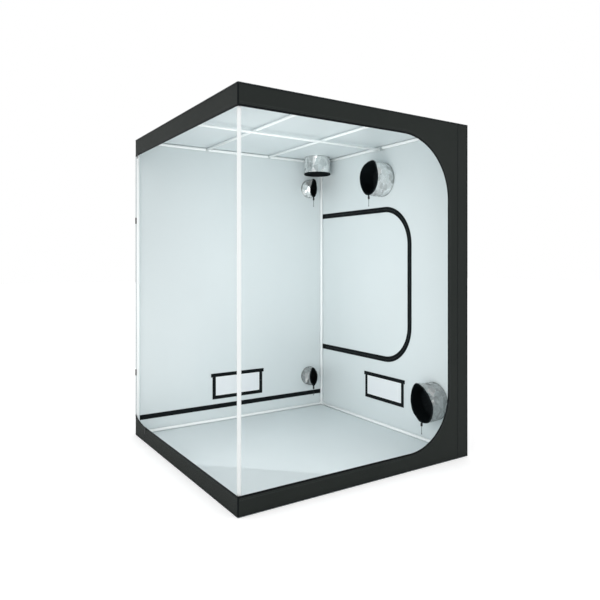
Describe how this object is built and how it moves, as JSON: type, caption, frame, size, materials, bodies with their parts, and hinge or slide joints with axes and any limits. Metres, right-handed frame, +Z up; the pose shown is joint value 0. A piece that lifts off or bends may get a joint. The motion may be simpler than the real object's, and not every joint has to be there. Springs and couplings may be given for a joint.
{
  "type": "indoor grow tent",
  "caption": "Square tube-framed indoor grow tent with a reflective lining, its corner door rolled away, an access door, low vents and drawcord duct ports.",
  "frame": {"origin": "centre of the underside of the floor, on the surface that the tent stands on", "axes": "+Z up; +Y from the front doorway to the back wall; +X from the open left side to the right wall"},
  "size_m": [1.5756, 1.622, 2.0123],
  "materials": {
    "white_coated_steel": "bright white powder coat, satin",
    "connector_plastic": "moulded white nylon",
    "reflective_lining": "pale reflective film bonded to cloth, soft sheen",
    "floor_lining": "pale reflective film, a little duller",
    "charcoal_cloth": "charcoal coated canvas, matt",
    "black_tape": "black woven tape and webbing",
    "silver_sleeve": "crinkled silver film on cloth",
    "zip_metal": "black painted die-cast metal",
    "cord_lock_plastic": "black moulded plastic"
  },
  "bodies": {
    "tent": {"post_front_left": "white_coated_steel", "post_front_right": "white_coated_steel", "post_back_left": "white_coated_steel", "post_back_right": "white_coated_steel", "rail_bottom_front": "white_coated_steel", "rail_bottom_back": "white_coated_steel", "rail_bottom_left": "white_coated_steel", "rail_bottom_right": "white_coated_steel", "corner_bottom_front_left": "connector_plastic", "corner_bottom_front_right": "connector_plastic", "corner_bottom_back_left": "connector_plastic", "corner_bottom_back_right": "connector_plastic", "rail_top_front": "white_coated_steel", "rail_top_back": "white_coated_steel", "rail_top_left": "white_coated_steel", "rail_top_right": "white_coated_steel", "corner_top_front_left": "connector_plastic", "corner_top_front_right": "connector_plastic", "corner_top_back_left": "connector_plastic", "corner_top_back_right": "connector_plastic", "floor_panel": "floor_lining", "roof_panel": "charcoal_cloth", "back_wall": "reflective_lining", "right_wall": "reflective_lining", "door_surround": "charcoal_cloth", "main_door_roll": "charcoal_cloth", "door_strap_upper": "black_tape", "door_strap_lower": "black_tape", "main_zip": "black_tape", "access_zip": "black_tape", "back_vent_screen": "black_tape", "right_vent_screen": "black_tape", "back_wall_strip": "black_tape", "roof_port_sleeve": "silver_sleeve", "roof_port_sock": "black_tape", "back_upper_port_sleeve": "silver_sleeve", "back_upper_port_sock": "black_tape", "back_lower_port_sleeve": "silver_sleeve", "back_lower_port_sock": "black_tape", "right_upper_port_sleeve": "silver_sleeve", "right_upper_port_sock": "black_tape", "right_lower_port_sleeve": "silver_sleeve", "right_lower_port_sock": "black_tape"},
    "ceiling_bar_left": {"ceiling_bar_left": "white_coated_steel"},
    "ceiling_bar_right": {"ceiling_bar_right": "white_coated_steel"},
    "ceiling_cross_bar": {"ceiling_cross_bar": "white_coated_steel"},
    "access_door": {"access_door": "reflective_lining"},
    "access_zip_slider": {"access_zip_slider": "zip_metal"},
    "access_zip_pull": {"access_zip_pull": "zip_metal"},
    "main_zip_slider_upper": {"main_zip_slider_upper": "zip_metal"},
    "main_zip_slider_lower": {"main_zip_slider_lower": "zip_metal"},
    "main_zip_pull_upper": {"main_zip_pull_upper": "zip_metal"},
    "main_zip_pull_lower": {"main_zip_pull_lower": "zip_metal"},
    "back_vent_flap": {"back_vent_flap": "reflective_lining"},
    "right_vent_flap": {"right_vent_flap": "reflective_lining"},
    "roof_port_cord_lock": {"roof_port_cord_lock": "cord_lock_plastic"},
    "back_upper_port_cord_lock": {"back_upper_port_cord_lock": "cord_lock_plastic"},
    "back_lower_port_cord_lock": {"back_lower_port_cord_lock": "cord_lock_plastic"},
    "right_upper_port_cord_lock": {"right_upper_port_cord_lock": "cord_lock_plastic"},
    "right_lower_port_cord_lock": {"right_lower_port_cord_lock": "cord_lock_plastic"}
  },
  "joints": [
    {"name": "ceiling_bar_left_slide", "type": "slide", "parent": "tent", "child": "ceiling_bar_left", "axis": [1, 0, 0], "range_m": [-0.2, 0.2]},
    {"name": "ceiling_bar_right_slide", "type": "slide", "parent": "tent", "child": "ceiling_bar_right", "axis": [1, 0, 0], "range_m": [-0.2, 0.2]},
    {"name": "ceiling_cross_bar_slide", "type": "slide", "parent": "tent", "child": "ceiling_cross_bar", "axis": [0, 1, 0], "range_m": [-0.2, 0.2]},
    {"name": "access_door_fold", "type": "hinge", "parent": "tent", "child": "access_door", "pos_m": [0.763, 0.6918, 1.005], "axis": [0, 0, 1], "range_deg": [0, 120]},
    {"name": "main_zip_slider_upper_run", "type": "slide", "parent": "tent", "child": "main_zip_slider_upper", "axis": [0, -1, 0], "range_m": [0, 1.385]},
    {"name": "main_zip_pull_upper_swing", "type": "hinge", "parent": "main_zip_slider_upper", "child": "main_zip_pull_upper", "pos_m": [-0.7696, 0.7018, 1.8776], "axis": [0, 1, 0], "range_deg": [0, 170]},
    {"name": "main_zip_slider_lower_run", "type": "slide", "parent": "tent", "child": "main_zip_slider_lower", "axis": [0, -1, 0], "range_m": [0, 1.235]},
    {"name": "main_zip_pull_lower_swing", "type": "hinge", "parent": "main_zip_slider_lower", "child": "main_zip_pull_lower", "pos_m": [-0.7696, 0.5478, 0.0927], "axis": [0, 1, 0], "range_deg": [0, 170]},
    {"name": "access_zip_slider_run", "type": "slide", "parent": "tent", "child": "access_zip_slider", "axis": [0, -1, 0], "range_m": [0, 0.735]},
    {"name": "access_zip_pull_swing", "type": "hinge", "parent": "access_zip_slider", "child": "access_zip_pull", "pos_m": [0.7696, 0.7268, 1.5373], "axis": [0, -1, 0], "range_deg": [0, 170]},
    {"name": "back_vent_flap_fold", "type": "hinge", "parent": "tent", "child": "back_vent_flap", "pos_m": [0, 0.7603, 0.351], "axis": [-1, 0, 0], "range_deg": [0, 160]},
    {"name": "right_vent_flap_fold", "type": "hinge", "parent": "tent", "child": "right_vent_flap", "pos_m": [0.7603, -0.006, 0.3605], "axis": [0, 1, 0], "range_deg": [0, 160]},
    {"name": "roof_port_cord_lock_slide", "type": "slide", "parent": "tent", "child": "roof_port_cord_lock", "axis": [0, -1, 0], "range_m": [0, 0.04]},
    {"name": "back_upper_port_cord_lock_slide", "type": "slide", "parent": "tent", "child": "back_upper_port_cord_lock", "axis": [0, 0, -1], "range_m": [0, 0.04]},
    {"name": "back_lower_port_cord_lock_slide", "type": "slide", "parent": "tent", "child": "back_lower_port_cord_lock", "axis": [0, 0, -1], "range_m": [0, 0.04]},
    {"name": "right_upper_port_cord_lock_slide", "type": "slide", "parent": "tent", "child": "right_upper_port_cord_lock", "axis": [0, 0, -1], "range_m": [0, 0.04]},
    {"name": "right_lower_port_cord_lock_slide", "type": "slide", "parent": "tent", "child": "right_lower_port_cord_lock", "axis": [0, 0, -1], "range_m": [0, 0.04]}
  ]
}
